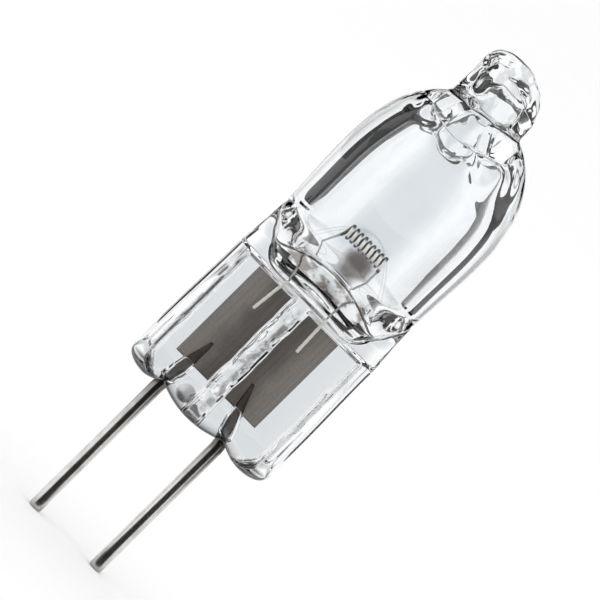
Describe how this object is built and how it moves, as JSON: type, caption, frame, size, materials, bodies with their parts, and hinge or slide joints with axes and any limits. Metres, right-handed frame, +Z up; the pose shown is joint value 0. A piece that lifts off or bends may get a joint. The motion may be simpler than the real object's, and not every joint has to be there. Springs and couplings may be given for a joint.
{
  "type": "halogen capsule bulb",
  "caption": "Clear quartz capsule bulb: round bulb with a sealed tip, coiled filament across it, flat pressed base with sealed-in foils, and straight pins that plug into a holder.",
  "frame": {"origin": "midway between the pins, level with the lowest edge of the glass", "axes": "+Z up the lamp from the pins to the tip, X along the row of pins, -Y the front"},
  "size_m": [0.0089, 0.0086, 0.031],
  "materials": {
    "quartz": "clear, fire polished",
    "tungsten": "drawn wire",
    "foil_metal": "rolled, satin",
    "pin_metal": "drawn, satin"
  },
  "bodies": {
    "root": {"glass_envelope": "quartz", "filament": "tungsten", "foil_left": "foil_metal", "foil_right": "foil_metal", "pin_left": "pin_metal", "pin_right": "pin_metal"}
  },
  "joints": []
}
